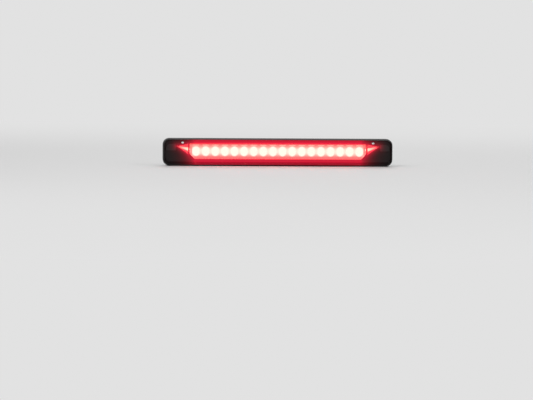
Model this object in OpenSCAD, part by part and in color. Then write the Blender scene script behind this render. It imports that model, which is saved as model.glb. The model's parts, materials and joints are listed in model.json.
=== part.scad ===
// High-mount third brake light.
// A row of LEDs sits behind a red lens with pointed ends, in a dished black bezel.
// The housing snaps into a panel cut-out: its foam seal rests on the panel's outer face,
// and two hairpin spring clips catch behind the panel.
//
// Frame: X to the right for someone who faces the lens, Y away from them through the panel, Z up.
// Origin: on the centre of the LED row, in the plane of the panel's outer face.

/* [Light row] */
// Number of LEDs
led_count = 18; // [16:1:20]
// Distance between neighbouring LEDs
led_pitch = 11.45; // [11.2:0.05:12]
// Height of the lit lens
lens_h = 18.2; // [17.6:0.1:18.6]
// Length of each pointed lens end, outside its divider
fin_l = 14; // [12:0.5:15]
// Width of the dark divider between the lens and each pointed end
divider_w = 1.4; // [1:0.1:1.8]

/* [Bezel] */
// Bezel past the tip of each pointed end
wing_l = 16.3; // [15:0.1:20]
// Top of the bezel above the LED row
bezel_top = 15.5; // [15.2:0.1:17]
// Bottom of the bezel below the LED row
bezel_bottom = 17.3; // [16.8:0.1:19]
// Depth of the dish that the lens sits in
dish_depth = 4.5; // [3:0.1:6]

/* [Housing] */
// Depth of the housing behind the panel
body_depth = 24; // [23:0.5:28]
// Wall thickness of the housing
wall = 1.8; // [1.6:0.1:2]
// Offset of the connector from the middle
connector_x = 40; // [34:1:44]

/* [Spring clips] */
// Width of each clip
clip_w = 10; // [9.2:0.1:11]
// Thickness of the spring steel
clip_t = 0.6; // [0.5:0.05:0.7]
// How far each clip stands out past the edge of the panel cut-out
clip_catch = 2.3; // [1.8:0.1:2.6]
// Thickness of the panel that the clips hold
panel_t = 2; // [1.2:0.1:2.2]

/* [Hidden] */
$fn = 64;
hull_fn = 32;
over = 0.1;      // extra depth of a cut, so that it clears the face it opens
slip = 0.15;     // gap between pieces that slide together
touch = 0.05;    // gap between pieces that only lie together
sides = [-1, 1];

// Margins and thicknesses that the places below are worked out from
row_margin = 2.95;        // from the last LED cell to the middle of the divider
rim_lap = 2.3;            // rim of the housing past the tip of each pointed end
clip_room = 7;            // step at each end of the housing, where a clip stands
board_gap = 0.7;          // from the board to the housing's end walls
post_inset = 4.5;         // from the board's ends to its screws
reflector_lap = 1.5;      // reflector past the last LED cell
screw_inset = 7.3;        // from the tips back to the bezel screws
inner_gap = 0.3;          // above and below the pieces inside the housing
fin_drop = 0.2;           // from the top of the lens down to the pointed ends
bezel_wall = 2;
lens_rise = 1.6;          // lens in front of the dish floor
lens_flange_t = 1.7;
seal_t = 2.5;
pillow_proud = 0.2;       // pillow lenses in front of the housing's rim
optic_t = 1.3;
board_t = 1.6;
back_wall = 2;

// Half widths and places along X
row_half = led_count * led_pitch / 2;
divider_x = row_half + row_margin;
window_half = divider_x - divider_w / 2;
fin_x = divider_x + divider_w / 2;
tip_x = fin_x + fin_l;
bezel_half = tip_x + wing_l;
rim_half = tip_x + rim_lap;
body_half = rim_half - clip_room;
board_half = body_half - wall - board_gap;
post_x = board_half - post_inset;
reflector_half = row_half + reflector_lap;
screw_x = tip_x - screw_inset;
vent_x = -connector_x;

// Heights, from the LED row
lens_half = lens_h / 2;
body_half_h = lens_half + wall;
inner_half_h = lens_half - inner_gap;
fin_top_z = lens_half - fin_drop;
fin_tip_z = 6.2;
fin_ridge_z = 2.4;
fin_foot_z = -3.6;
corner_z = -2.2;          // where the lens corner starts to slope in
corner_run = 6.4;
screw_z = 10.5;
post_z = 5;

// Stations along Y, front to back; the panel's outer face is 0
floor_y = -11;                            // dish floor of the bezel
bezel_back_y = floor_y + bezel_wall;
rim_y = floor_y - dish_depth;             // front edge of the bezel
lens_y = floor_y - lens_rise;             // front of the lens
lens_flange_y = bezel_back_y + over;
tray_y = lens_flange_y + lens_flange_t;   // front rim of the housing, under the lens flange
flange_y = -5;
shelf_y = -4.3;
optic_y = tray_y - pillow_proud;          // tops of the pillow lenses
optic_back_y = shelf_y;
optic_plate_y = optic_back_y - optic_t;
reflector_y = optic_back_y + over;
cup_floor_y = 4.4;
reflector_back_y = 5;
board_y = 6;
board_back_y = board_y + board_t;
back_wall_y = body_depth - back_wall;

// Bezel
bezel_r = 8;
bezel_draft = 1.2;
rim_w = 2.2;              // from the outline to the mouth of the dish
skirt_l = 1.5;            // straight skirt in front of the housing's flange
skirt_y = flange_y - skirt_l;
skirt_w = 2;
dish_slope = 1;           // from the mouth of the dish to its floor, at the ends
dish_side = rim_w + dish_slope;
dish_over = 2.1;          // dish floor above the screws
dish_under = 3.1;         // and below the lens
dish_top_z = screw_z + dish_over;
dish_bottom_z = -lens_half - dish_under;
dish_r = 5.2;
pad_gap = 0.9;            // groove round each blind pad
pad_x = tip_x + pad_gap;
pad_low_z = 1;
pad_high_z = fin_top_z;
pad_r = 5;

// Lens
lens_wall = 2;
lens_chamfer = 0.6;
fin_wall = 1.4;
fin_edge = 0.9;           // the edges of a pointed end lie this far behind the lens front
fin_crest = 0.2;          // and its ridge this far in front of it
fin_crest_w = 0.5;
fin_crest_inset = 2.4;    // from the tip back to the end of the ridge
lens_flange_r = 2;

// Light guides
guide_foot = 4;           // height of the foot that reaches the reflector, and its length under the wedge
guide_foot_z = 1;
guide_foot_front = 1;     // from the shelf forwards
guide_foot_back = 2;      // and back into the housing

// Flange, seal and locating pins
flange_inset = rim_w;
seal_inset = 1.5;
seal_r = 6.5;
cutout_gap = 1.5;         // panel cut-out past the housing's rim, at each end
cutout_gap_h = 0.6;       // and above and below the housing
cutout_half = rim_half + cutout_gap;
cutout_half_h = body_half_h + cutout_gap_h;
seal_gap = 1;             // from the cut-out's edge to the seal
pin_x = (cutout_half + seal_gap + bezel_half - seal_inset) / 2;
pin_z = -9;
pin_r = 2;
pin_l = 5;
pin_tip = 0.8;
pin_boss_r = 3.6;

// LEDs, reflector cells and pillow lenses
inner_r = 1;              // corners of the pieces inside the housing
cell_wall = 0.8;          // between neighbouring cells
cell_rim = 0.9;           // above and below them
cell_w = led_pitch - cell_wall;
cell_h = lens_h - 2 * cell_rim;
cup_base_r = 2.7;
cup_mouth_r = 8.9;
led_hole_r = 2.5;
led_w = 3.5;
led_h = 2.8;
led_t = 1.9;
led_dome_r = 1.15;
led_cup = 0.8;
led_y = board_y - led_t;
pillow_w = 10;
pillow_h = 12.6;
pillow_rise = optic_plate_y - optic_y;
pillow_ball_r = (pow(pillow_h / 2, 2) + pow(pillow_rise, 2)) / (2 * pillow_rise);

// Screws and rivets
bezel_screw_r = 0.95;
bezel_screw_head_r = 1.6;
bezel_screw_head = 1.3;
bezel_screw_crown_r = 2.3;
bezel_screw_l = 7.6;
screw_boss_r = 2;
board_screw_r = 1.3;
board_screw_head_r = 2.6;
board_screw_head = 1.7;
board_screw_l = 6;        // length in the post
post_r = 2.8;
post_hole_l = 7;
driver_cross = [1, 0.6, 0.22];    // shares of a screw head's radius
ear_t = 2.5;
ear_inset = 0.5;
rivet_y = 9.5;
rivet_z = 2.5;
rivet_r = 1.2;
rivet_head_r = 2;
rivet_crown_r = 1.4;
rivet_head = 0.7;
rivet_tail_r = 1.7;
rivet_tail = 0.45;

// Parts on the back of the board
leds_per_string = 3;
resistor = [6.3, 0.7, 3.2];
resistor_z = -7;
diode = [4.4, 2.3, 3.6];
capacitor = [3.2, 2, 2.5];
part_z = 1;
part_gap = 9;             // from the connector's middle
cap_w = 0.6;              // metal end caps of a chip
cap_proud = 0.08;
lead_w = 1.5;             // leads of the diode
lead_t = 0.2;
lead_foot = 1.1;          // their length under its body

// Connector
shell_half = 8.5;
shell_half_h = 5.6;
shell_wall = 1.5;
shell_r = 1.5;
shell_lip = 1.5;
shell_l = 13;             // from its flange to its mouth
shell_flange_t = 1.6;
shell_floor_t = 2.4;
gasket_t = 1;
shell_seat_y = body_depth + gasket_t;
shell_flange_y = shell_seat_y + shell_flange_t;
shell_floor_y = shell_seat_y + shell_floor_t;
mouth_y = shell_flange_y + shell_l;
neck_half = 6.9;
neck_half_h = 4.2;
neck_wall = 1.3;
barb_half = 3;
barb_h = 0.7;
barb_l = 1.4;
neck_y = back_wall_y - barb_l;
ramp_half = 2.5;
ramp_h = 1.3;
ramp_l = 6;
ramp_crest = 1.5;         // flat top of the ramp, before its steep back
ramp_inset = 1;           // from the mouth to the ramp
key_h = 0.8;
key_half = 1;
key_inset = 2;            // from the mouth to the keying ribs
blade_w = 2.8;
blade_t = 0.8;
blade_pitch = 5;
blade_inset = 4.6;        // from the mouth to the blades' tips
blade_tip = 1.2;          // length of the taper at the tip
blade_y = mouth_y - blade_inset;
shoulder_half = 2.2;      // step of a blade that rests on the board
shoulder_l = 1.2;

// Clips, in the plane of X and Y, for the right-hand end
clip_bend_r = 2.2;        // middle of the strip
clip_bend_inset = 4;      // from the back wall to the middle of the bend
clip_start = 1.5;         // straight stretch of the leaf after the bend
clip_shoulder = 3.2;      // from the panel back to the knee
clip_flat = 0.8;          // flat on the knee
clip_heel = [1.1, 1];     // heel, inside the cut-out's edge and the panel's inner face
clip_tail = [0.8, 2];     // turned-in end of the leaf
clip_foot_x = body_half + touch + clip_t / 2;
clip_axis_x = clip_foot_x + clip_bend_r;
clip_axis_y = body_depth - clip_bend_inset;
clip_foot_y = 5;
clip_leaf_x = clip_axis_x + clip_bend_r;
clip_knee = [cutout_half + clip_catch - clip_t / 2, panel_t + clip_shoulder];
clip_heel_point = [cutout_half, panel_t] - clip_heel;
clip_path = [
    [clip_leaf_x, clip_axis_y - touch],
    [clip_leaf_x, clip_axis_y - clip_start],
    clip_knee + [0, clip_flat],
    clip_knee,
    clip_heel_point,
    clip_heel_point - clip_tail
];

// Outside of the housing
body_r = 2;
rib_t = 1.4;
rib_h = 1.5;
rib_pitch = 23;
rib_inset = 2.2;
rib_gap = 1.5;            // from a rib's middle to the connector or the vent
rib_count = floor(body_half / rib_pitch) - 1;
seat_margin = 1;          // flat seat round the connector's gasket
vent_r = 5.5;
vent_hole_r = 1.5;
vent_t = 0.4;
guard_gap = 0.8;          // from the vent's disc to its guard ring
guard_t = 1.2;
guard_mouth = 4;          // opening in the ring for water to run out of
guard_r = vent_r + guard_gap + guard_t;
centring_x = [26, 78];    // ribs that centre the housing in the cut-out
centring_l = 2;           // their flat stretch past the panel
centring_lead = 4;        // and the slope behind it

fin = [[fin_x, fin_top_z], [tip_x, fin_tip_z], [fin_x, fin_foot_z]];

function led_x(i) = (i - (led_count - 1) / 2) * led_pitch;

// A triangle moved in by c on every side, about the centre of its inscribed circle
function inset(t, c) =
    let (
        a = norm(t[1] - t[2]),
        b = norm(t[2] - t[0]),
        d = norm(t[0] - t[1]),
        centre = (a * t[0] + b * t[1] + d * t[2]) / (a + b + d),
        twice_area = abs(cross(t[1] - t[0], t[2] - t[0])),
        k = 1 - c * (a + b + d) / twice_area
    )
    [for (p = t) centre + k * (p - centre)];

// Outline of a strip of thickness t whose middle follows the points, with mitred bends
function unit(v) = v / norm(v);
function heading(p, i) = let (j = min(max(i, 1), len(p) - 1)) unit(p[j] - p[j - 1]);
function mitre(p, i) =
    let (middle = unit(heading(p, i) + heading(p, i + 1)))
    [-middle[1], middle[0]] / (middle * heading(p, i + 1));
function ribbon(p, t) = concat(
    [for (i = [0 : len(p) - 1]) p[i] + mitre(p, i) * t / 2],
    [for (i = [len(p) - 1 : -1 : 0]) p[i] - mitre(p, i) * t / 2]
);

// An outline drawn in X and Z, made solid from y0 back to y1
module slab(y0, y1) {
    translate([0, y1, 0]) rotate([90, 0, 0]) linear_extrude(height = y1 - y0) children();
}

// A round bar along Y from y0 back to y1
module bar(x, z, r, y0, y1) {
    translate([x, y1, z]) rotate([90, 0, 0]) cylinder(r = r, h = y1 - y0);
}

module block(x0, x1, y0, y1, z0, z1) {
    translate([x0, y0, z0]) cube([x1 - x0, y1 - y0, z1 - z0]);
}

// A profile drawn in Y and Z, made solid over a width w along X
module profile(w) {
    rotate([90, 0, 90]) linear_extrude(height = w, center = true) children();
}

// A rectangle with round corners, equal either side of X = 0
module plate(half_w, low, high, r) {
    translate([-half_w + r, low]) square([2 * (half_w - r), high - low]);
    translate([-half_w, low + r]) square([2 * half_w, high - low - 2 * r]);
    for (x = [-half_w + r, half_w - r], z = [low + r, high - r]) translate([x, z]) circle(r);
}

module mirrored() {
    children();
    mirror([1, 0, 0]) children();
}

// The bezel's outline, moved in by c
module outline(c, r) {
    plate(bezel_half - c, c - bezel_bottom, bezel_top - c, r);
}

// The long lens window, moved in by c: a rectangle whose lower corners slope in
module main_window(c) {
    slope = (lens_half + corner_z) / corner_run;
    stretch = sqrt(1 + slope * slope);
    w = window_half - c;
    corner = corner_z + c * (stretch - slope);
    foot = window_half - corner_run - c * (stretch - 1) / slope;
    polygon([
        [-w, lens_half - c], [w, lens_half - c], [w, corner],
        [foot, c - lens_half], [-foot, c - lens_half], [-w, corner]
    ]);
}

module fin_window(c) {
    polygon(inset(fin, c));
}

// Blind pad beside a pointed end, with a round outer top corner
module pad() {
    size = [bezel_half - dish_side - pad_gap - pad_x, pad_high_z - pad_low_z];
    translate([pad_x, pad_low_z]) {
        square([size[0] - pad_r, size[1]]);
        square([size[0], size[1] - pad_r]);
        intersection() {
            square(size);
            translate(size - [pad_r, pad_r]) circle(pad_r);
        }
    }
}

// Dished black frame with a window for the lens and one for each pointed end
module front_bezel() {
    $fn = hull_fn;
    color([0.03, 0.03, 0.035]) {
        difference() {
            hull() {
                slab(skirt_y, -seal_t) outline(0, bezel_r);
                slab(rim_y, rim_y + over) outline(bezel_draft, bezel_r - bezel_draft);
            }
            hull() {
                slab(rim_y - over, rim_y) outline(rim_w, bezel_r - rim_w);
                slab(floor_y - over, floor_y)
                    plate(bezel_half - dish_side, dish_bottom_z, dish_top_z, dish_r);
            }
            hull() {
                slab(flange_y - over, -seal_t + over) outline(skirt_w, bezel_r - skirt_w);
                slab(bezel_back_y, bezel_back_y + over)
                    plate(rim_half + skirt_w, -body_half_h - slip, body_half_h + slip, lens_flange_r);
            }
            slab(floor_y - over, bezel_back_y + over) {
                main_window(0);
                fin_window(0);
                mirror([1, 0, 0]) fin_window(0);
            }
            for (s = sides) {
                bar(s * screw_x, screw_z, bezel_screw_r + slip, floor_y - over, bezel_back_y + over);
                // room for the housing's screw boss
                bar(s * screw_x, screw_z, screw_boss_r + slip, bezel_back_y, flange_y);
            }
        }
        mirrored() slab(lens_y, floor_y + over) pad();
    }
}

// Two bright round-headed screws, above the pointed ends
module bezel_screws() {
    color("silver") for (s = sides) {
        bar(s * screw_x, screw_z, bezel_screw_r, floor_y - over, floor_y + bezel_screw_l);
        difference() {
            intersection() {
                bar(s * screw_x, screw_z, bezel_screw_head_r, floor_y - bezel_screw_head, floor_y);
                translate([s * screw_x, floor_y + bezel_screw_crown_r - bezel_screw_head, screw_z])
                    sphere(bezel_screw_crown_r);
            }
            cross_recess(s * screw_x, screw_z, floor_y - bezel_screw_head, bezel_screw_head_r);
        }
    }
}

// Cross for a driver, in the front of a screw head of radius r
module cross_recess(x, z, y, r) {
    for (turn = [0, 90])
        translate([x, y, z]) rotate([0, turn, 0]) cube(r * driver_cross, center = true);
}

// One red moulding: a raised window, two ridged ends and the flange that is welded to the housing
module outer_lens() {
    color([0.75, 0.02, 0.04]) difference() {
        union() {
            slab(lens_flange_y, tray_y) plate(rim_half, -body_half_h, body_half_h, lens_flange_r);
            hull() {
                slab(lens_y + lens_chamfer, lens_flange_y + over) main_window(slip);
                slab(lens_y, lens_y + over) main_window(slip + lens_chamfer);
            }
            mirrored() hull() {
                slab(lens_y + fin_edge, lens_flange_y + over) fin_window(slip);
                slab(lens_y - fin_crest, lens_y) polygon([
                    [fin_x + lens_chamfer, fin_ridge_z + fin_crest_w / 2],
                    [fin_x + lens_chamfer, fin_ridge_z - fin_crest_w / 2],
                    [tip_x - fin_crest_inset, fin_tip_z - fin_crest_w]
                ]);
            }
        }
        slab(lens_y + lens_wall, tray_y + over) main_window(lens_wall);
        mirrored() slab(lens_y + lens_wall, tray_y + over) fin_window(fin_wall);
        for (s = sides)
            bar(s * screw_x, screw_z, screw_boss_r + slip, lens_flange_y - over, tray_y + over);
    }
}

// Clear wedge that carries light from the last LED cell into a pointed end
module end_light_guide() {
    foot_y = shelf_y - over;
    color([0.9, 0.25, 0.25]) {
        slab(lens_y + lens_wall + touch, foot_y) fin_window(fin_wall + slip);
        // base plate that lights the edges of the pointed end
        slab(tray_y + touch, foot_y) fin_window(0);
        block(reflector_half + slip, fin_x + guide_foot,
            foot_y - guide_foot_front, foot_y + guide_foot_back,
            guide_foot_z, guide_foot_z + guide_foot);
    }
}
module end_light_guide_right() { end_light_guide(); }
module end_light_guide_left() { mirror([1, 0, 0]) end_light_guide(); }

// Clear strip with one round-ended pillow lens in front of each LED
module pillow_optic() {
    straight = pillow_h - pillow_w;
    color([0.95, 0.85, 0.85]) {
        slab(optic_plate_y, optic_back_y)
            plate(reflector_half - touch, -inner_half_h, inner_half_h, inner_r);
        for (i = [0 : led_count - 1]) intersection() {
            translate([led_x(i), optic_y + pillow_ball_r, 0]) sphere(pillow_ball_r);
            slab(optic_y - over, optic_plate_y + over) translate([led_x(i), 0]) {
                square([pillow_w, straight], center = true);
                for (s = sides) translate([0, s * straight / 2]) circle(d = pillow_w);
            }
        }
    }
}

// Metallised tray with one cup for each LED, and an ear at each end for the screws
module reflector() {
    color("gainsboro") difference() {
        union() {
            slab(reflector_y, reflector_back_y)
                plate(reflector_half, -inner_half_h, inner_half_h, inner_r);
            slab(board_y - ear_t, board_y - touch)
                plate(board_half - ear_inset, -inner_half_h, inner_half_h, inner_r);
        }
        for (i = [0 : led_count - 1]) {
            intersection() {
                translate([led_x(i), cup_floor_y, 0]) rotate([90, 0, 0])
                    cylinder(h = cup_floor_y - reflector_y + over, r1 = cup_base_r, r2 = cup_mouth_r);
                block(led_x(i) - cell_w / 2, led_x(i) + cell_w / 2, reflector_y - 2 * over, board_y,
                    -cell_h / 2, cell_h / 2);
            }
            bar(led_x(i), 0, led_hole_r, cup_floor_y - over, board_y);
        }
        for (s = sides, z = [-post_z, post_z]) bar(s * post_x, z, board_screw_r + slip, 0, board_y);
    }
}

// White LED packages with a round light cup
module led_packages() {
    color("ivory") for (i = [0 : led_count - 1]) difference() {
        block(led_x(i) - led_w / 2, led_x(i) + led_w / 2, led_y, board_y, -led_h / 2, led_h / 2);
        bar(led_x(i), 0, led_dome_r + touch, led_y - over, led_y + led_cup);
    }
}

// Clear domes that fill the cups of the packages
module led_domes() {
    color([1, 0.6, 0.55]) for (i = [0 : led_count - 1]) {
        bar(led_x(i), 0, led_dome_r, led_y, led_y + led_cup - touch);
        intersection() {
            translate([led_x(i), led_y, 0]) sphere(led_dome_r);
            bar(led_x(i), 0, 2 * led_dome_r, led_y - 2 * led_dome_r, led_y);
        }
    }
}

// The two blades, or with a gap the slots that they pass through
module blades(y0, y1, gap) {
    for (s = sides) {
        x = connector_x + s * blade_pitch / 2;
        block(x - blade_t / 2 - gap, x + blade_t / 2 + gap, y0, y1, -blade_w / 2 - gap, blade_w / 2 + gap);
    }
}

module circuit_board() {
    color("darkgreen") difference() {
        slab(board_y, board_back_y) plate(board_half, -inner_half_h, inner_half_h, inner_r);
        for (s = sides, z = [-post_z, post_z])
            bar(s * post_x, z, board_screw_r + slip, board_y - over, board_back_y + over);
        blades(board_y - over, board_back_y + over, touch);
    }
}

// Pan-head screws that hold the reflector and the board to the housing's posts
module board_screws() {
    seat = board_y - ear_t;
    color("dimgray") for (s = sides, z = [-post_z, post_z]) difference() {
        union() {
            bar(s * post_x, z, board_screw_head_r, seat - board_screw_head, seat);
            bar(s * post_x, z, board_screw_r, seat, board_back_y + board_screw_l);
        }
        cross_recess(s * post_x, z, seat - board_screw_head, board_screw_head_r);
    }
}

// A chip on the back of the board, with its middle at x: a body between two metal end caps
module chip(size, x, z) {
    half = size[0] / 2;
    translate([x, board_back_y, z]) {
        block(over - half, half - over, cap_proud, size[1] - cap_proud, cap_proud, size[2] - cap_proud);
        mirrored() block(half - cap_w, half, 0, size[1], 0, size[2]);
    }
}

// One resistor for each string of LEDs
module series_resistors() {
    color([0.08, 0.08, 0.09]) for (i = [1 : leds_per_string : led_count - 2])
        chip(resistor, led_x(i), resistor_z);
}

// Moulded diode, with leads that fold down its ends and under it
module protection_diode() {
    half = diode[0] / 2;
    low = (diode[2] - lead_w) / 2;
    color([0.1, 0.1, 0.1]) translate([connector_x - part_gap - half, board_back_y, part_z]) {
        block(-half, half, lead_t - touch, diode[1], 0, diode[2]);
        mirrored() {
            block(half - lead_foot, half + lead_t, 0, lead_t, low, low + lead_w);
            block(half - over, half + lead_t, 0, diode[1] / 2, low, low + lead_w);
        }
    }
}

module filter_capacitor() {
    color("peru") chip(capacitor, connector_x + part_gap + capacitor[0] / 2, part_z);
}

// Flat terminals, soldered into the board, with a shoulder on it and a tapered tip in the socket
module terminal_blades() {
    taper_y = blade_y - blade_tip;
    shoulder_y = board_back_y + touch;
    color("gold") {
        blades(board_y, taper_y, 0);
        for (s = sides) translate([connector_x + s * blade_pitch / 2, 0, 0]) {
            block(-blade_t / 2, blade_t / 2, shoulder_y, shoulder_y + shoulder_l,
                -shoulder_half, shoulder_half);
            translate([0, 0, -blade_w / 2]) linear_extrude(height = blade_w) polygon([
                [-blade_t / 2, taper_y - over], [blade_t / 2, taper_y - over], [blade_t / 2, taper_y],
                [blade_t / 4, blade_y], [-blade_t / 4, blade_y], [-blade_t / 2, taper_y]
            ]);
        }
    }
}

// Socket for the lamp's plug, pushed through the back wall and held by two barbs
module connector_shell() {
    color([0.12, 0.12, 0.13]) translate([connector_x, 0, 0]) difference() {
        union() {
            block(-neck_half, neck_half, neck_y, shell_seat_y, -neck_half_h, neck_half_h);
            for (s = sides) translate([0, 0, s * neck_half_h])
                block(-barb_half, barb_half, neck_y, back_wall_y - touch, -barb_h, barb_h);
            slab(shell_seat_y, shell_flange_y)
                plate(shell_half + shell_lip, -shell_half_h - shell_lip, shell_half_h + shell_lip, shell_r);
            slab(shell_flange_y, mouth_y) plate(shell_half, -shell_half_h, shell_half_h, shell_r);
            // ramp that the plug's latch snaps over
            translate([0, mouth_y - ramp_inset, shell_half_h]) profile(2 * ramp_half) polygon([
                [0, -over], [0, 0], [ramp_crest - ramp_l, ramp_h], [-ramp_l, ramp_h], [-ramp_l, -over]
            ]);
            // keying rib on each side
            for (s = sides) translate([s * shell_half, 0, 0])
                block(-key_h, key_h, shell_flange_y - over, mouth_y - key_inset, -key_half, key_half);
        }
        slab(shell_floor_y, mouth_y + over) plate(shell_half - shell_wall,
            shell_wall - shell_half_h, shell_half_h - shell_wall, shell_r / 2);
        block(neck_wall - neck_half, neck_half - neck_wall, neck_y - over, body_depth,
            neck_wall - neck_half_h, neck_half_h - neck_wall);
        translate([-connector_x, 0, 0]) blades(back_wall_y, shell_floor_y + over, touch);
    }
}

module connector_seal() {
    color([0.75, 0.3, 0.12]) slab(body_depth + touch, shell_seat_y - touch)
        translate([connector_x, 0]) difference() {
            plate(shell_half + shell_lip, -shell_half_h - shell_lip, shell_half_h + shell_lip, shell_r);
            plate(neck_half + slip, -neck_half_h - slip, neck_half_h + slip, shell_r / 2);
        }
}

// Breathable disc over the vent hole
module vent_membrane() {
    color("white") bar(vent_x, 0, vent_r - slip, body_depth - vent_t + touch, body_depth + touch);
}

// True where a rib on the back wall would run into the connector or the vent's guard
function in_the_way(x) =
    abs(x - connector_x) < shell_half + shell_lip + rib_gap || abs(x - vent_x) < guard_r + rib_gap;

// Short ribs across the back wall and two long ones along it
module back_ribs() {
    top = body_depth + rib_h;
    reach = body_half_h - rib_inset;
    for (i = [-rib_count : rib_count]) if (!in_the_way(i * rib_pitch))
        block(i * rib_pitch - rib_t / 2, i * rib_pitch + rib_t / 2, body_depth - over, top, -reach, reach);
    for (s = sides) translate([0, 0, s * reach])
        block(rib_inset - body_half, body_half - rib_inset, body_depth - over, top, -rib_t / 2, rib_t / 2);
}

// Low ring round the vent, open at the bottom
module vent_guard() {
    slab(body_depth - over, body_depth + rib_h) translate([vent_x, 0]) difference() {
        circle(guard_r);
        circle(guard_r - guard_t);
        translate([-guard_mouth / 2, -guard_r - over]) square([guard_mouth, guard_r]);
    }
}

// Low ribs above and below the body, which slope off behind the panel
module centring_ribs() {
    top = cutout_half_h - slip;
    end = panel_t + centring_l;
    for (x = centring_x, s = sides, turn = [0, 180]) translate([s * x, 0, 0]) rotate([0, turn, 0])
        profile(rib_t) polygon([
            [-seal_t - over, body_half_h - over], [-seal_t - over, top], [end, top],
            [end + centring_lead, body_half_h], [end + centring_lead, body_half_h - over]
        ]);
}

// Round boss and tapered pin that set the lamp's place on the panel
module locating_pin() {
    bar(pin_x, pin_z, pin_boss_r, -seal_t - over, 0);
    bar(pin_x, pin_z, pin_r, -over, pin_l);
    translate([pin_x, pin_l, pin_z]) rotate([-90, 0, 0])
        cylinder(h = pin_tip, r1 = pin_r, r2 = pin_r - pin_tip);
}

// Stepped tray: a wide front that carries the lens and a shorter body behind the panel
module rear_housing() {
    seat_half = shell_half + shell_lip + seat_margin;
    color([0.05, 0.05, 0.055]) {
        difference() {
            union() {
                slab(tray_y, -seal_t) plate(rim_half, -body_half_h, body_half_h, body_r);
                slab(flange_y, -seal_t) outline(flange_inset, bezel_r - flange_inset);
                slab(-seal_t - over, body_depth) plate(body_half, -body_half_h, body_half_h, body_r);
                for (s = sides)
                    bar(s * screw_x, screw_z, screw_boss_r, bezel_back_y + touch, flange_y + over);
                mirrored() locating_pin();
                back_ribs();
                vent_guard();
                centring_ribs();
            }
            slab(tray_y - over, shelf_y) plate(rim_half - wall, -lens_half, lens_half, inner_r);
            slab(tray_y - over, back_wall_y) plate(body_half - wall, -lens_half, lens_half, inner_r);
            for (s = sides)
                bar(s * screw_x, screw_z, bezel_screw_r + touch, floor_y, floor_y + bezel_screw_l + slip);
            translate([connector_x, 0, 0]) {
                block(-neck_half - slip, neck_half + slip, back_wall_y - over, body_depth + over,
                    -neck_half_h - slip, neck_half_h + slip);
                // flat seat for the gasket, clear of the long ribs
                block(-seat_half, seat_half, body_depth, body_depth + rib_h + over,
                    -body_half_h, body_half_h);
            }
            bar(vent_x, 0, vent_r, body_depth - vent_t, body_depth + over);
            bar(vent_x, 0, vent_hole_r, back_wall_y - over, body_depth);
            for (s = sides, z = [-rivet_z, rivet_z])
                translate([s * (body_half - wall / 2), rivet_y, z]) rotate([0, 90, 0])
                    cylinder(r = rivet_r + touch, h = wall + 2 * over, center = true);
        }
        // screw posts behind the board
        for (s = sides, z = [-post_z, post_z]) difference() {
            bar(s * post_x, z, post_r, board_back_y + touch, back_wall_y + over);
            bar(s * post_x, z, board_screw_r + touch, board_back_y, board_back_y + post_hole_l);
        }
    }
}

// Foam ring between the flange and the panel
module panel_seal() {
    color([0.1, 0.1, 0.1]) slab(-seal_t + touch, 0) difference() {
        outline(seal_inset, seal_r);
        plate(cutout_half + seal_gap, -cutout_half_h, cutout_half_h, body_r);
        for (s = sides) translate([s * pin_x, pin_z]) circle(pin_boss_r + slip);
    }
}

// Fixed half of a hairpin clip: a riveted foot on the end wall and the bend behind it
module clip_foot() {
    color("lightsteelblue") difference() {
        union() {
            block(clip_foot_x - clip_t / 2, clip_foot_x + clip_t / 2, clip_foot_y, clip_axis_y,
                -clip_w / 2, clip_w / 2);
            translate([clip_axis_x, clip_axis_y, -clip_w / 2])
                linear_extrude(height = clip_w) difference() {
                    circle(clip_bend_r + clip_t / 2);
                    circle(clip_bend_r - clip_t / 2);
                    translate([-2 * clip_bend_r, -4 * clip_bend_r]) square(4 * clip_bend_r);
                }
        }
        for (z = [-rivet_z, rivet_z])
            translate([clip_foot_x, rivet_y, z]) rotate([0, 90, 0])
                cylinder(r = rivet_r + touch, h = 2 * clip_t, center = true);
    }
}
module clip_foot_right() { clip_foot(); }
module clip_foot_left() { mirror([1, 0, 0]) clip_foot(); }

// Sprung half of a hairpin clip: it swings in about the bend as the lamp is pushed through the panel
module clip_leaf() {
    color("lightsteelblue") translate([0, 0, -clip_w / 2]) linear_extrude(height = clip_w)
        polygon(ribbon(clip_path, clip_t));
}
module clip_leaf_right() { clip_leaf(); }
module clip_leaf_left() { mirror([1, 0, 0]) clip_leaf(); }

// Rivets through both clip feet and the end walls
module clip_rivets() {
    grip = wall + touch + clip_t;
    color("silver") for (s = sides, z = [-rivet_z, rivet_z])
        translate([s * (body_half - wall), rivet_y, z]) rotate([0, 90 * s, 0]) {
            translate([0, 0, -touch - over]) cylinder(r = rivet_r, h = grip + 2 * touch + over);
            translate([0, 0, grip]) cylinder(r1 = rivet_head_r, r2 = rivet_crown_r, h = rivet_head);
            translate([0, 0, -touch - rivet_tail]) cylinder(r = rivet_tail_r, h = rivet_tail);
        }
}

front_bezel();
bezel_screws();
outer_lens();
end_light_guide_left();
end_light_guide_right();
pillow_optic();
reflector();
led_domes();
led_packages();
circuit_board();
board_screws();
series_resistors();
protection_diode();
filter_capacitor();
terminal_blades();
rear_housing();
panel_seal();
connector_shell();
connector_seal();
vent_membrane();
clip_foot_left();
clip_foot_right();
clip_leaf_left();
clip_leaf_right();
clip_rivets();
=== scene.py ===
"""Looks for the lit third brake light: materials, finer edges, stage, light and camera."""

import json
import math

import bpy
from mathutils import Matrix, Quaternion, Vector


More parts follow.
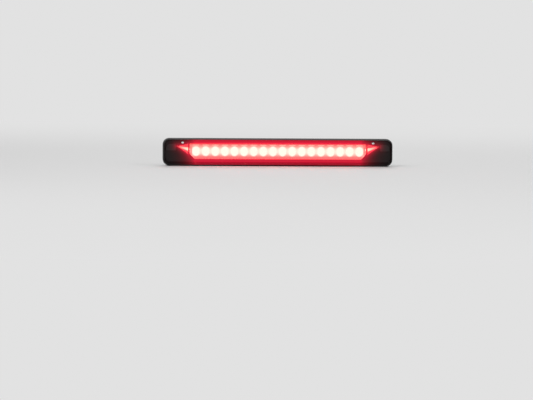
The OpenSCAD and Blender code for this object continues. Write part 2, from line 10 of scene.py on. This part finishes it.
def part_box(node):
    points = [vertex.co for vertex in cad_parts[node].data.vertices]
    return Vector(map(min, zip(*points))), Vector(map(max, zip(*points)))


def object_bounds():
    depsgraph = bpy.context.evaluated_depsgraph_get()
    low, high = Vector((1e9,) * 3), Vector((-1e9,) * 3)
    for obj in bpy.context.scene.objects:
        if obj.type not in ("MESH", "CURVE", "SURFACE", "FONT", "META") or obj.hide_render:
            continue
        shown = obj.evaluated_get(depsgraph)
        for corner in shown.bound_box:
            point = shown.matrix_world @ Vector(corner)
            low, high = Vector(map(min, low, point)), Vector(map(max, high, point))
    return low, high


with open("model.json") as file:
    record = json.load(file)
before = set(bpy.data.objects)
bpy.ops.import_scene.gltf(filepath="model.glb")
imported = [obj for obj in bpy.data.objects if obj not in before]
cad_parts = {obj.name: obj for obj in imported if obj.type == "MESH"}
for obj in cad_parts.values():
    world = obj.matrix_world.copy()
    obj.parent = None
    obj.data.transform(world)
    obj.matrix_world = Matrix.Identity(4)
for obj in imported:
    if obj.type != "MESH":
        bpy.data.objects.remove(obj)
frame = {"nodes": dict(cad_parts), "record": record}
cad_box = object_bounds()
nodes = frame["nodes"]
MM = 0.001

# Boxes of the pieces that the light pattern follows
bezel_low, bezel_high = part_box("front_bezel")
optic_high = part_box("pillow_optic")[1]
guide_low, guide_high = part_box("end_light_guide_right")
led_low, led_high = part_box("led_packages")

# The row of LEDs and its window
LED_COUNT = 18
LED_W = 3.5 * MM
LED_PITCH = (led_high.x - led_low.x - LED_W) / (LED_COUNT - 1)
PILLOW_W = 10 * MM
PILLOW_H = 12.6 * MM
WINDOW_HALF_H = optic_high.z + 0.3 * MM
WINDOW_END = optic_high.x + 0.8 * MM
CORNER_RUN = 6.4 * MM               # the window's lower corners slope in over this length
ROW_END = WINDOW_END - CORNER_RUN

# The pointed ends
FIN_L = 14 * MM
TIP_X = guide_high.x
FIN_X = TIP_X - FIN_L
FIN_TOP_Z = guide_high.z
FIN_FOOT_Z = guide_low.z
FIN_ROOT_Z = (FIN_TOP_Z + FIN_FOOT_Z) / 2
FIN_TIP_Z = 6.2 * MM
FIN_RIDGE_Z = 2.4 * MM

# The bezel's dish and its blind pads
BEZEL_R = 8 * MM
BEZEL_DRAFT = 1.2 * MM
DISH_SIDE = 3.2 * MM                # from the bezel's ends to the dish floor
DISH_BACK_Y = bezel_low.y + 6.5 * MM
DISH_FOOT_Z = -WINDOW_HALF_H - 3.1 * MM
PAD_GAP = 0.9 * MM
PAD_X = (TIP_X + PAD_GAP, bezel_high.x - DISH_SIDE - PAD_GAP)
PAD_Y = bezel_low.y + 2.9 * MM      # front of the pads, behind the bezel's rim
PAD_Z = (1 * MM, FIN_TOP_Z)
PAD_ROUGH = 0.55
SIDE_ROUGH = 0.66

# Light behind the lens; a FADE holds the distance at which a light has gone, and that within which it is full
OVAL_FADE = (5.4 * MM, 3.4 * MM)
GAP_Z = 0.1 * MM                    # bright ground between the ovals
GAP_FADE = (7.6 * MM, 0.8 * MM)
GAP_ENDS = (WINDOW_END - 2.1 * MM, WINDOW_END - 4.3 * MM)
DASH_Z = 7.15 * MM                  # short bright dashes above the ovals
DASH_FADE_X = (4.6 * MM, 2.8 * MM)
DASH_FADE_Z = (0.75 * MM, 0.2 * MM)
TOP_EDGE_Z = (7.3 * MM, 8.3 * MM)   # where the ground turns red towards its top edge
STREAK_FADE = (1.5 * MM, 0.5 * MM)

# Painted light on the dish, as if the lit lens shone on it: its strength beside the lens, and the distance at
# which 1/e of it is left
PAINTED_ROW_LIGHT = 0.70
ROW_REACH = (6 * MM, 6.5 * MM)      # past the ends of the row, and above and below it
PAINTED_FIN_LIGHT = 0.42
FIN_REACH = 2.3 * MM
# the line along the foot of the dish is a painted highlight
PAINTED_FOOT_LIGHT = 0.17                    # a brighter line along the foot of the dish
FOOT_LINE_Z = DISH_FOOT_Z + 0.4 * MM
FOOT_FADE = (1.3 * MM, 0.3 * MM)
PAINTED_LIGHT_RED = (1.0, 0.004, 0.045, 1)

# What the red lens lets through, its loss at both faces, and the strength of the lamp behind it
LENS_DEEP = (1.0, 0.27, 0.24)
LENS_PALE = (1.0, 0.29, 0.26)
LENS_TINT = [(a + b) / 2 for a, b in zip(LENS_DEEP, LENS_PALE)]
LENS_LOSS = 0.92
LAMP = 5.5


def behind_lens(*colour):
    """The share of the lamp's light that shows as this colour once it has come through the lens."""
    return tuple(c / (t * LENS_LOSS * LAMP) for c, t in zip(colour, LENS_TINT)) + (1.0,)


# Light of the row and the pointed ends, as it shows through the lens
OVAL_LIGHT = behind_lens(5.0, 0.95, 0.80)
GAP_LIGHT = behind_lens(2.7, 0.77, 0.64)
DASH_LIGHT = behind_lens(2.4, 0.52, 0.40)
GROUND_LOW = behind_lens(1.4, 0.15, 0.15)
GROUND_HIGH = behind_lens(1.6, 0.20, 0.17)
GROUND_TOP = behind_lens(0.95, 0.06, 0.09)
STREAK_LIGHT = behind_lens(3.0, 0.75, 0.56)
FACET_DEEP = behind_lens(0.5, 0.015, 0.04)
FACET_PALE = behind_lens(0.8, 0.04, 0.07)


# Node graphs


class Graph:
    """A material's nodes, with short ways to add the usual ones."""

    def __init__(self, name):
        self.material = bpy.data.materials.new(name)
        self.material.use_nodes = True
        self.tree = self.material.node_tree
        self.shader = self.tree.nodes["Principled BSDF"]
        self.place = self.add("ShaderNodeTexCoord")
        self.point = self.place.outputs["Object"]

    def add(self, kind, **settings):
        node = self.tree.nodes.new(kind)
        for key, value in settings.items():
            setattr(node, key, value)
        return node

    def feed(self, socket, value):
        """Links an output to a socket, or sets a plain value on it."""
        if isinstance(value, bpy.types.NodeSocket):
            self.tree.links.new(value, socket)
        else:
            socket.default_value = value

    def set(self, **values):
        """Feeds the shader's sockets, named with _ for a space."""
        for key, value in values.items():
            self.feed(self.shader.inputs[key.replace("_", " ")], value)

    def math(self, operation, *values, clamp=False):
        node = self.add("ShaderNodeMath", operation=operation, use_clamp=clamp)
        for socket, value in zip(node.inputs, values):
            self.feed(socket, value)
        return node.outputs[0]

    def plus(self, a, b):
        return self.math("ADD", a, b)

    def minus(self, a, b):
        return self.math("SUBTRACT", a, b)

    def times(self, a, b):
        return self.math("MULTIPLY", a, b)

    def over(self, a, b, clamp=False):
        return self.math("DIVIDE", a, b, clamp=clamp)

    def larger(self, a, b):
        return self.math("MAXIMUM", a, b)

    def size(self, value):
        return self.math("ABSOLUTE", value)

    def length(self, a, b):
        squares = self.plus(self.math("POWER", a, 2.0), self.math("POWER", b, 2.0))
        return self.math("POWER", squares, 0.5)

    def axes(self, vector=None):
        node = self.add("ShaderNodeSeparateXYZ")
        self.feed(node.inputs[0], vector or self.point)
        return node.outputs

    def ramp(self, value, low, high, smooth=True):
        """0 where value is at low, 1 where it is at high, whichever of the two is larger."""
        kind = "SMOOTHSTEP" if smooth else "LINEAR"
        node = self.add("ShaderNodeMapRange", interpolation_type=kind)
        self.feed(node.inputs["Value"], value)
        if low > high:
            low, high = high, low
            node.inputs["To Min"].default_value = 1.0
            node.inputs["To Max"].default_value = 0.0
        node.inputs["From Min"].default_value = low
        node.inputs["From Max"].default_value = high
        return node.outputs["Result"]

    def between(self, value, low, high):
        """low where value is 0, high where it is 1."""
        node = self.add("ShaderNodeMapRange")
        self.feed(node.inputs["Value"], value)
        node.inputs["To Min"].default_value = low
        node.inputs["To Max"].default_value = high
        return node.outputs["Result"]

    def within(self, value, limits, blur=0.1 * MM):
        """1 where value lies inside these limits, and 0 outside them."""
        low, high = limits
        return self.times(self.ramp(value, low - blur, low), self.ramp(value, high + blur, high))

    def near(self, value, centre, reach, core):
        """1 where value is within core of a centre, down to 0 at this reach."""
        return self.ramp(self.size(self.minus(value, centre)), reach, core)

    def outside(self, value, limit):
        """How far value lies past a limit, or 0."""
        return self.larger(self.minus(value, limit), 0.0)

    def fade(self, distance, reach):
        """1 at no distance, down to 1/e at this reach."""
        return self.math("EXPONENT", self.over(distance, -reach))

    def mix(self, share, a, b):
        node = self.add("ShaderNodeMix", data_type="RGBA")
        self.feed(node.inputs["Factor"], share)
        self.feed(node.inputs[6], a)
        self.feed(node.inputs[7], b)
        return node.outputs[2]

    def noise(self, size, detail=3.0, stretch=(1, 1, 1)):
        """Noise whose features are about this size, in metres, longer along an axis with a larger stretch."""
        place = self.add("ShaderNodeMapping")
        self.feed(place.inputs["Vector"], self.point)
        place.inputs["Scale"].default_value = [1 / s for s in stretch]
        node = self.add("ShaderNodeTexNoise")
        self.feed(node.inputs["Vector"], place.outputs[0])
        node.inputs["Scale"].default_value = 1 / size
        node.inputs["Detail"].default_value = detail
        return node.outputs["Fac"]

    def cells(self, size):
        node = self.add("ShaderNodeTexVoronoi")
        self.feed(node.inputs["Vector"], self.point)
        node.inputs["Scale"].default_value = 1 / size
        return node.outputs["Distance"]

    def bump(self, height, depth):
        node = self.add("ShaderNodeBump")
        self.feed(node.inputs["Height"], height)
        node.inputs["Distance"].default_value = depth
        self.set(Normal=node.outputs[0])


def grey(value, tint=(1, 1, 1)):
    """A grey of this brightness, or a tint of it."""
    return tuple(value * t for t in tint) + (1.0,)


# Finishes that several pieces share


def plastic(name, dark, pale, rough, grain, depth):
    """Moulded plastic: cloudy colour, uneven gloss and a fine grain."""
    g = Graph(name)
    g.set(
        Base_Color=g.mix(g.noise(9 * MM), dark, pale),
        Roughness=g.between(g.noise(3 * MM), rough - 0.06, rough + 0.06),
        IOR=1.49,
    )
    g.bump(g.noise(grain, detail=2), depth)
    return g.material


def steel(name, dark, pale, rough, stretch=(1, 1, 1)):
    """Bare metal with fine marks that run along the axis with the larger stretch."""
    g = Graph(name)
    marks = g.noise(0.35 * MM, stretch=stretch)
    g.set(
        Base_Color=g.mix(g.noise(5 * MM), dark, pale),
        Metallic=1.0,
        Roughness=g.between(marks, rough - 0.08, rough + 0.1),
    )
    g.bump(marks, 0.01 * MM)
    return g.material


def tinned(name, node, ends, dark, pale):
    """The body of a small part on the board, with bare tinned metal where its ends are."""
    g = Graph(name)
    metal = ends(g, *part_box(node))
    g.set(
        Base_Color=g.mix(metal, g.mix(g.noise(1.5 * MM), dark, pale), grey(0.62, (1, 0.98, 0.94))),
        Metallic=metal,
        Roughness=g.between(g.noise(0.4 * MM), 0.35, 0.55),
    )
    g.bump(g.noise(0.25 * MM, detail=2), 0.01 * MM)
    return g.material


def chip_caps(g, low, high):
    """1 on the end caps of chips: the faces that stand proud of the body, and those that close its ends."""
    _, y, z = g.axes()
    middle = (low.z + high.z) / 2
    proud = g.minus(g.size(g.minus(z, middle)), high.z - middle)
    proud = g.larger(proud, g.minus(y, high.y))
    end = g.ramp(g.size(g.axes(g.place.outputs["Normal"])["X"]), 0.4, 0.6)
    return g.larger(g.ramp(proud, -0.06 * MM, -0.02 * MM), end)


def diode_leads(g, low, high):
    """1 on the leads, which stand out past the ends of the moulded body."""
    middle = (low.x + high.x) / 2
    proud = g.minus(g.size(g.minus(g.axes()["X"], middle)), high.x - middle)
    return g.ramp(proud, -0.19 * MM, -0.17 * MM)


# Finishes of single pieces


def bezel_inset(g, wide, z):
    """How far a point lies inside the bezel's round-cornered outline, seen from the front."""
    middle = (bezel_high.z + bezel_low.z) / 2
    half_w = bezel_high.x - BEZEL_R
    half_h = bezel_high.z - middle - BEZEL_R
    tall = g.size(g.minus(z, middle))
    return g.minus(BEZEL_R, g.length(g.outside(wide, half_w), g.outside(tall, half_h)))


def painted_dish_light(g, wide, z):
    """Painted red light, as if from the lens, on the dish: wide along the row, close round the pointed ends.
    """
    reach_x, reach_z = ROW_REACH
    beyond = g.fade(g.outside(wide, ROW_END), reach_x)
    row = g.times(beyond, g.fade(g.outside(g.size(z), WINDOW_HALF_H), reach_z))
    share = g.over(g.minus(wide, FIN_X), FIN_L, clamp=True)
    middle = g.plus(g.times(share, FIN_TIP_Z - FIN_ROOT_Z), FIN_ROOT_Z)
    half = g.times(g.minus(1.0, share), FIN_TOP_Z - FIN_ROOT_Z)
    from_fin = g.length(g.outside(wide, TIP_X), g.outside(g.size(g.minus(z, middle)), half))
    foot = g.times(g.near(z, FOOT_LINE_Z, *FOOT_FADE), beyond)
    glow = g.plus(g.times(row, PAINTED_ROW_LIGHT), g.times(g.fade(from_fin, FIN_REACH), PAINTED_FIN_LIGHT))
    return g.plus(glow, g.times(foot, PAINTED_FOOT_LIGHT))


def bezel_black(name):
    """Gloss black dish with satin pads and sides, with painted red light where the lens would light it."""
    g = Graph(name)
    x, y, z = g.axes()
    wide = g.size(x)
    pad = g.times(g.within(wide, PAD_X), g.within(z, PAD_Z))
    pad = g.times(pad, g.ramp(y, PAD_Y + 0.3 * MM, PAD_Y + 0.1 * MM))
    inset = bezel_inset(g, wide, z)
    side = g.ramp(inset, BEZEL_DRAFT + 0.2 * MM, BEZEL_DRAFT)
    front = g.ramp(inset, BEZEL_DRAFT, 1.4 * BEZEL_DRAFT)
    front = g.times(front, g.ramp(y, DISH_BACK_Y + 0.2 * MM, DISH_BACK_Y - 0.2 * MM))
    gloss = g.between(g.noise(3 * MM), 0.14, 0.26)
    satin = g.larger(g.times(pad, PAD_ROUGH), g.times(side, SIDE_ROUGH))
    g.set(
        Base_Color=g.mix(pad, g.mix(g.noise(9 * MM), grey(0.005), grey(0.009)), grey(0.02)),
        Roughness=g.larger(gloss, satin),
        Specular_IOR_Level=0.2,
        # painted red light from the lens, given off as emission by the dish's front faces
        Emission_Color=g.mix(g.times(painted_dish_light(g, wide, z), front), grey(0), PAINTED_LIGHT_RED),
        Emission_Strength=1.0,
    )
    # fine moulded grain on the satin faces, and a faint orange peel on the gloss
    grain = g.times(g.minus(g.noise(0.4 * MM, detail=2), 0.5), g.larger(pad, side))
    peel = g.times(g.noise(0.9 * MM, detail=2), 0.1)
    g.bump(g.plus(grain, peel), 0.04 * MM)
    return g.material


def lens_red(name):
    """Clear red plastic that scatters a little of the light inside it."""
    g = Graph(name)
    g.set(
        Base_Color=g.mix(g.noise(12 * MM), LENS_DEEP + (1,), LENS_PALE + (1,)),
        Transmission_Weight=1.0,
        IOR=1.49,
        Roughness=0.0,
        Emission_Color=(1.0, 0.02, 0.05, 1),
        Emission_Strength=0.05,
    )
    g.bump(g.noise(7 * MM, detail=1), 0.01 * MM)
    return g.material


def optic_lit(name):
    """Clear pillow strip, lit from behind: one white-hot oval for each LED on a coral ground."""
    g = Graph(name)
    x, _, z = g.axes()
    across = g.times(g.minus(g.math("FRACT", g.over(x, LED_PITCH)), 0.5), LED_PITCH)
    up = g.outside(g.size(z), (PILLOW_H - PILLOW_W) / 2)
    oval = g.ramp(g.length(across, up), *OVAL_FADE)
    # the ground is paler towards its top, red along its top edge and bright between the ovals
    ground = g.mix(g.ramp(z, -TOP_EDGE_Z[0], TOP_EDGE_Z[0], smooth=False), GROUND_LOW, GROUND_HIGH)
    ground = g.mix(g.ramp(z, *TOP_EDGE_Z), ground, GROUND_TOP)
    gap = g.times(g.near(z, GAP_Z, *GAP_FADE), g.ramp(g.size(x), *GAP_ENDS))
    ground = g.mix(gap, ground, GAP_LIGHT)
    dash = g.times(g.near(z, DASH_Z, *DASH_FADE_Z), g.near(across, 0.0, *DASH_FADE_X))
    ground = g.mix(dash, ground, DASH_LIGHT)
    g.set(
        Base_Color=(0.3, 0.14, 0.12, 1),
        Roughness=g.between(g.noise(4 * MM), 0.1, 0.2),
        Emission_Color=g.mix(oval, ground, OVAL_LIGHT),
        Emission_Strength=LAMP,
    )
    return g.material


def guide_lit(name):
    """Lit wedge behind a pointed end: red, with a bright streak from the divider to the tip."""
    g = Graph(name)
    x, _, z = g.axes()
    share = g.over(g.minus(g.size(x), FIN_X), FIN_L)
    ridge = g.plus(g.times(share, FIN_TIP_Z - FIN_RIDGE_Z), FIN_RIDGE_Z)
    # the streak is twice as wide at the divider as near the tip
    off = g.times(g.size(g.minus(z, ridge)), g.between(share, 0.6, 1.3))
    streak = g.times(g.ramp(off, *STREAK_FADE), g.ramp(share, 0.95, 0.0))
    facet = g.mix(g.noise(2.5 * MM), FACET_DEEP, FACET_PALE)
    g.set(
        Base_Color=(0.7, 0.3, 0.3, 1),
        Roughness=g.between(g.noise(2.5 * MM), 0.14, 0.26),
        Emission_Color=g.mix(streak, facet, STREAK_LIGHT),
        Emission_Strength=LAMP,
    )
    return g.material


def led_lit(name):
    """Clear domes with an uneven pink light in them."""
    g = Graph(name)
    g.set(
        Base_Color=(0.9, 0.7, 0.65, 1),
        Roughness=g.between(g.noise(1 * MM), 0.06, 0.14),
        Emission_Color=g.mix(g.noise(1 * MM), (1.0, 0.4, 0.37, 1), (1.0, 0.6, 0.53, 1)),
        Emission_Strength=LAMP,
    )
    return g.material


def board_green(name):
    """Solder mask with slightly raised copper tracks under it."""
    g = Graph(name)
    x, _, z = g.axes()
    pitch, run = 2.2 * MM, 36 * MM
    # the tracks jog across by one pitch and back, at 45 degrees, along each run
    share = g.math("FRACT", g.over(x, run))
    out = g.ramp(share, 0.2, 0.2 + pitch / run, smooth=False)
    back = g.ramp(share, 0.7, 0.7 + pitch / run, smooth=False)
    lane = g.math("FRACT", g.plus(g.over(z, pitch), g.minus(out, back)))
    track = g.near(lane, 0.5, 0.28, 0.2)
    g.set(
        Base_Color=g.mix(track, (0.008, 0.075, 0.03, 1), (0.02, 0.13, 0.05, 1)),
        Roughness=g.between(g.noise(2 * MM), 0.25, 0.4),
    )
    g.bump(track, 0.035 * MM)
    return g.material


def foam_black(name):
    """Closed-cell foam with open pores on its cut faces."""
    g = Graph(name)
    pores = g.cells(0.55 * MM)
    g.set(
        # the pores are painted darker: painted shade in their hollows
        Base_Color=g.mix(g.ramp(pores, 0.1, 0.6), grey(0.012), grey(0.045)),
        Roughness=g.between(pores, 0.86, 0.98),
    )
    g.bump(pores, 0.12 * MM)
    return g.material


def membrane_white(name):
    """Woven film, with threads across and up."""
    g = Graph(name)
    x, _, z = g.axes()
    turn = 2 * math.pi / (0.5 * MM)
    weave = g.plus(g.math("SINE", g.times(x, turn)), g.math("SINE", g.times(z, turn)))
    g.set(
        # the hollows between the threads are painted darker: painted shade
        Base_Color=g.mix(g.ramp(weave, -2, 2), grey(0.58), grey(0.8)),
        Roughness=g.between(g.noise(1.5 * MM), 0.78, 0.92),
    )
    g.bump(weave, 0.03 * MM)
    return g.material


CERAMIC = (0.36, 0.23, 0.11, 1), (0.5, 0.34, 0.18, 1)
TINNED_BRASS = (0.62, 0.55, 0.40, 1), (0.78, 0.72, 0.58, 1)
SILICONE = (0.42, 0.09, 0.02, 1), (0.55, 0.15, 0.04, 1)
MOULDED_BLACK = grey(0.018), grey(0.034)

# For each material slot, the function that makes it and what the function takes after the name
FINISHES = {
    "bezel_black": (bezel_black,),
    "polished_steel": (steel, grey(0.78), grey(0.9), 0.16),
    "lens_red": (lens_red,),
    "guide_lit": (guide_lit,),
    "optic_lit": (optic_lit,),
    "metallised_plastic": (steel, grey(0.75), grey(0.86), 0.15),
    "led_lit": (led_lit,),
    "led_white": (plastic, grey(0.7), grey(0.82, (1, 0.97, 0.9)), 0.5, 0.3 * MM, 0.01 * MM),
    "board_green": (board_green,),
    "zinc_steel": (steel, grey(0.48), grey(0.66), 0.36),
    "chip_black": (tinned, "series_resistors", chip_caps, *MOULDED_BLACK),
    "diode_black": (tinned, "protection_diode", diode_leads, *MOULDED_BLACK),
    "capacitor_tan": (tinned, "filter_capacitor", chip_caps, *CERAMIC),
    "tinned_brass": (steel, *TINNED_BRASS, 0.3, (1, 8, 1)),
    "housing_black": (plastic, grey(0.014), grey(0.026), 0.52, 0.45 * MM, 0.05 * MM),
    "foam_black": (foam_black,),
    "connector_grey": (plastic, grey(0.07), grey(0.105), 0.5, 0.4 * MM, 0.04 * MM),
    "gasket_orange": (plastic, *SILICONE, 0.55, 0.6 * MM, 0.03 * MM),
    "membrane_white": (membrane_white,),
    "spring_steel": (steel, grey(0.36, (1, 1, 1.04)), grey(0.52), 0.3, (1, 12, 1)),
}
MATERIALS = {slot: make(slot, *values) for slot, (make, *values) in FINISHES.items()}

for part in frame["record"]["subparts"]:
    slots = nodes[part["node"]].data.materials
    slots.clear()
    slots.append(MATERIALS[part["material_slot"]])


# Rounded edges

# Nodes by the width of their rounded edges, in millimetres; at 0 the mesh is only cleaned and shaded smooth
ROUNDING = {
    0.45: ("front_bezel",),
    0.4: ("panel_seal",),
    0.35: ("rear_housing",),
    0.25: ("connector_shell",),
    0.2: ("outer_lens",),
    0.12: ("connector_seal", "vent_membrane"),
    0.08: ("clip_foot_left", "clip_foot_right", "clip_leaf_left", "clip_leaf_right", "clip_rivets",
           "terminal_blades"),
    0.06: ("bezel_screws", "led_packages"),
    0.05: ("circuit_board", "protection_diode"),
    0.03: ("series_resistors", "filter_capacitor"),
    0: ("led_domes",),
}
JOIN_GAP = 0.001 * MM
JOIN_ANGLE = math.radians(1)
ROUND_ANGLE = math.radians(20)
SHARP_ANGLE = math.radians(50)


def smooth_group():
    """A node group that shades a mesh smooth, apart from its sharp edges."""
    tree = bpy.data.node_groups.new("smooth", "GeometryNodeTree")
    tree.interface.new_socket("Geometry", in_out="INPUT", socket_type="NodeSocketGeometry")
    tree.interface.new_socket("Geometry", in_out="OUTPUT", socket_type="NodeSocketGeometry")
    angle = tree.nodes.new("GeometryNodeInputMeshEdgeAngle")
    sharp = tree.nodes.new("FunctionNodeCompare")
    sharp.inputs["B"].default_value = SHARP_ANGLE
    tree.links.new(angle.outputs["Unsigned Angle"], sharp.inputs["A"])
    faces = tree.nodes.new("GeometryNodeSetShadeSmooth")
    edges = tree.nodes.new("GeometryNodeSetShadeSmooth")
    edges.domain = "EDGE"
    edges.inputs["Shade Smooth"].default_value = False
    tree.links.new(sharp.outputs["Result"], edges.inputs["Selection"])
    tree.links.new(tree.nodes.new("NodeGroupInput").outputs[0], faces.inputs["Geometry"])
    tree.links.new(faces.outputs["Geometry"], edges.inputs["Geometry"])
    tree.links.new(edges.outputs["Geometry"], tree.nodes.new("NodeGroupOutput").inputs[0])
    return tree


def soften(obj, width, smooth):
    """Rounds an object's hard edges, and keeps its large faces flat."""
    weld = obj.modifiers.new("weld", "WELD")
    weld.merge_threshold = JOIN_GAP
    join = obj.modifiers.new("join", "DECIMATE")
    join.decimate_type = "DISSOLVE"
    join.angle_limit = JOIN_ANGLE
    bevel = obj.modifiers.new("bevel", "BEVEL")
    bevel.width = width
    bevel.segments = 2
    bevel.limit_method = "ANGLE"
    bevel.angle_limit = ROUND_ANGLE
    bevel.use_clamp_overlap = True
    obj.modifiers.new("smooth", "NODES").node_group = smooth
    normals = obj.modifiers.new("normals", "WEIGHTED_NORMAL")
    normals.keep_sharp = True


smooth = smooth_group()
for width, names in ROUNDING.items():
    for name in names:
        soften(nodes[name], width * MM, smooth)


# Stage: a pale floor under the lamp that runs into a pale sky

PALE = 0.80
SKY = 0.76
FLOOR_R = 40.0
FADE_NEAR = 0.35
FADE_FAR = 1.5
WORLD_LIGHT = 0.5


def camera_rays(tree):
    """1 for what the camera sees directly, in a mirror or through glass, and 0 for light on the object."""
    path = tree.nodes.new("ShaderNodeLightPath")
    total = path.outputs["Is Camera Ray"]
    for name in ("Is Glossy Ray", "Is Transmission Ray"):
        more = tree.nodes.new("ShaderNodeMath")
        more.operation = "MAXIMUM"
        tree.links.new(total, more.inputs[0])
        tree.links.new(path.outputs[name], more.inputs[1])
        total = more.outputs[0]
    return total


def make_floor(height):
    """A wide floor that takes on the colour of the sky with distance, for the camera only."""
    mesh = bpy.data.meshes.new("floor")
    r = FLOOR_R
    mesh.from_pydata([(-r, -r, height), (r, -r, height), (r, r, height), (-r, r, height)], [], [(0, 1, 2, 3)])
    floor = bpy.data.objects.new("floor", mesh)
    bpy.context.scene.collection.objects.link(floor)
    g = Graph("floor_pale")
    g.set(Base_Color=grey(PALE), Roughness=0.7)
    far = g.add("ShaderNodeVectorMath", operation="LENGTH")
    g.feed(far.inputs[0], g.point)
    sky = g.add("ShaderNodeEmission")
    sky.inputs["Color"].default_value = grey(SKY)
    blend = g.add("ShaderNodeMixShader")
    g.feed(blend.inputs[0], g.times(g.ramp(far.outputs["Value"], FADE_NEAR, FADE_FAR), camera_rays(g.tree)))
    g.feed(blend.inputs[1], g.shader.outputs[0])
    g.feed(blend.inputs[2], sky.outputs[0])
    g.feed(g.tree.nodes["Material Output"].inputs["Surface"], blend.outputs[0])
    mesh.materials.append(g.material)


def make_world():
    """Even light on the object, and a pale sky for the camera."""
    world = bpy.data.worlds.new("studio")
    bpy.context.scene.world = world
    world.use_nodes = True
    tree = world.node_tree
    back = tree.nodes["Background"]
    back.inputs["Color"].default_value = grey(1.0)
    level = tree.nodes.new("ShaderNodeMapRange")
    tree.links.new(camera_rays(tree), level.inputs["Value"])
    level.inputs["To Min"].default_value = WORLD_LIGHT
    level.inputs["To Max"].default_value = SKY
    tree.links.new(level.outputs["Result"], back.inputs["Strength"])


def area_light(name, place, size, power):
    """A soft rectangular light that faces the origin."""
    data = bpy.data.lights.new(name, "AREA")
    data.shape = "RECTANGLE"
    data.size, data.size_y = size
    data.energy = power
    obj = bpy.data.objects.new(name, data)
    obj.location = place
    obj.rotation_mode = "QUATERNION"
    obj.rotation_quaternion = (-Vector(place)).to_track_quat("-Z", "Y")
    bpy.context.scene.collection.objects.link(obj)


make_floor(cad_box[0].z)
make_world()
area_light("key", place=(-0.9, -1.2, 1.3), size=(1.2, 0.8), power=9)
area_light("fill", place=(1.4, -0.9, 0.8), size=(1.0, 1.0), power=4)
area_light("back", place=(0.3, 1.5, 1.0), size=(1.4, 0.6), power=6)


# Camera: the lamp lies where the photograph has it

IMAGE_W, IMAGE_H = 533, 400
SENSOR = 36.0
DISTANCE = 4.0
AZIMUTH, ELEVATION, ROLL = -3.0, 2.5, 0.4
SCALE = 839.9                       # pixels for each metre at the lamp
LAMP_PIXEL = (277.75, 151.5)
LAMP_POINT = Vector((0, -7 * MM, 0))


def make_camera():
    """The photograph's angle of view, with the lamp as large and in the same place."""
    data = bpy.data.cameras.new("camera")
    focal = SCALE * DISTANCE
    data.sensor_width = SENSOR
    data.lens = focal * SENSOR / IMAGE_W
    data.clip_start, data.clip_end = 0.05, 200
    camera = bpy.data.objects.new("camera", data)
    a, e = math.radians(AZIMUTH), math.radians(ELEVATION)
    back = Vector((math.sin(a) * math.cos(e), -math.cos(a) * math.cos(e), math.sin(e)))
    camera.location = LAMP_POINT + back * DISTANCE
    turn = math.atan((LAMP_PIXEL[0] - IMAGE_W / 2) / focal)
    drop = math.atan((IMAGE_H / 2 - LAMP_PIXEL[1]) / focal)
    camera.rotation_mode = "QUATERNION"
    camera.rotation_quaternion = (
        (-back).to_track_quat("-Z", "Y")
        @ Quaternion((0, 0, 1), math.radians(ROLL))
        @ Quaternion((0, 1, 0), turn)
        @ Quaternion((1, 0, 0), -drop)
    )
    bpy.context.scene.collection.objects.link(camera)
    bpy.context.scene.camera = camera


make_camera()
bpy.context.scene.view_settings.view_transform = "Standard"
